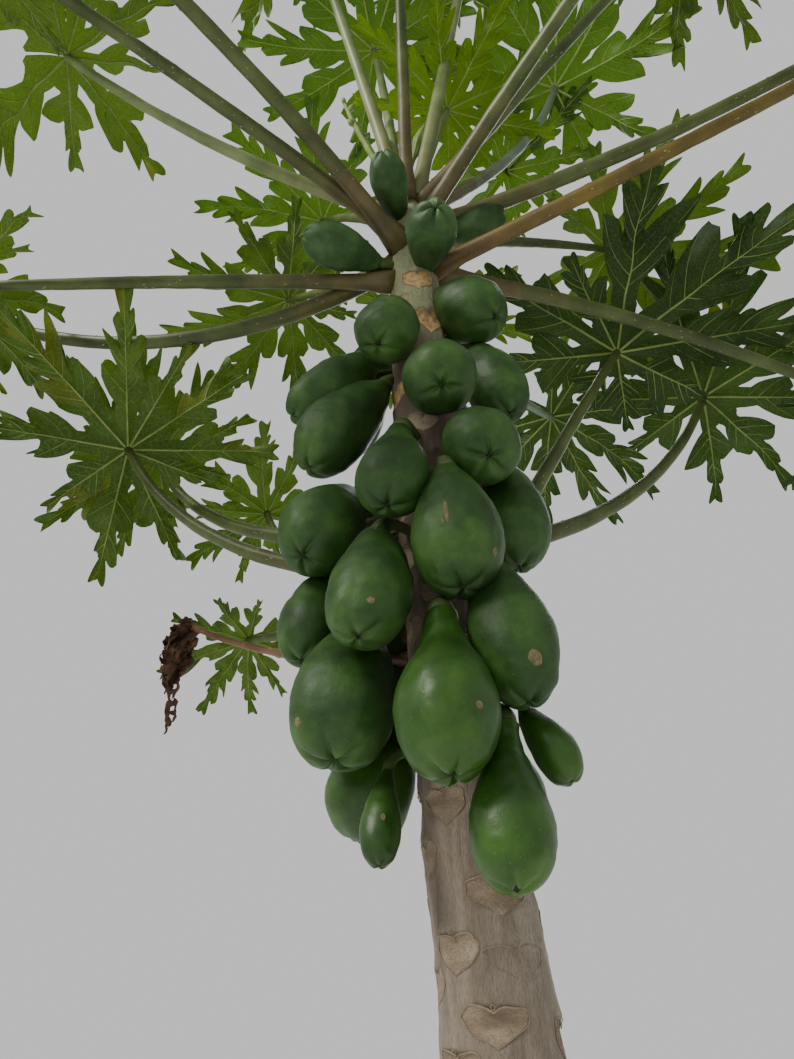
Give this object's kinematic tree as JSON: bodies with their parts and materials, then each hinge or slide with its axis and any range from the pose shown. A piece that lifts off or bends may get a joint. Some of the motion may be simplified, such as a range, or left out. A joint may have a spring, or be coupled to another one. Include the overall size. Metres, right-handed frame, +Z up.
{
  "type": "papaya tree",
  "caption": "Papaya tree with a leaning scarred stem, a crown of palmate leaves on long stalks, and a column of green fruit beneath it.",
  "frame": {"origin": "centre of the flat cut under the stem, at ground level", "axes": "+Z up, +X to the right and +Y away from the viewer as the tree is usually seen; the stem leans towards -X"},
  "size_m": [2.6984, 1.9593, 3.9595],
  "materials": {
    "bark": "rough, scarred",
    "leaf": "satin",
    "dead_leaf": "dry, matte",
    "shoot": "satin",
    "fruit": "waxy"
  },
  "bodies": {
    "root": {"trunk": "bark", "growing_tip": "shoot", "leaf_01": "leaf", "leaf_02": "leaf", "leaf_03": "leaf", "leaf_04": "leaf", "leaf_05": "leaf", "leaf_06": "leaf", "leaf_07": "leaf", "leaf_08": "leaf", "leaf_09": "leaf", "leaf_10": "leaf", "leaf_11": "leaf", "leaf_12": "leaf", "leaf_13": "leaf", "leaf_14": "leaf", "leaf_15": "leaf", "leaf_16": "leaf", "leaf_17": "leaf", "leaf_18": "leaf", "leaf_19": "leaf", "leaf_20": "leaf", "leaf_21": "leaf", "leaf_22": "leaf", "leaf_23": "leaf", "leaf_24": "leaf", "leaf_25": "leaf", "leaf_26": "leaf", "leaf_27": "leaf", "leaf_28": "leaf", "leaf_wilted": "dead_leaf", "fruit_01": "fruit", "fruit_02": "fruit", "fruit_03": "fruit", "fruit_04": "fruit", "fruit_05": "fruit", "fruit_06": "fruit", "fruit_07": "fruit", "fruit_08": "fruit", "fruit_09": "fruit", "fruit_10": "fruit", "fruit_11": "fruit", "fruit_12": "fruit", "fruit_13": "fruit", "fruit_14": "fruit", "fruit_15": "fruit", "fruit_16": "fruit", "fruit_17": "fruit", "fruit_18": "fruit", "fruit_19": "fruit", "fruit_20": "fruit", "fruit_21": "fruit", "fruit_22": "fruit", "fruit_23": "fruit", "fruit_pair_01": "fruit", "fruit_pair_02": "fruit", "fruit_pair_03": "fruit", "fruit_pair_04": "fruit", "fruit_pair_05": "fruit", "fruit_pair_06": "fruit"}
  },
  "joints": []
}
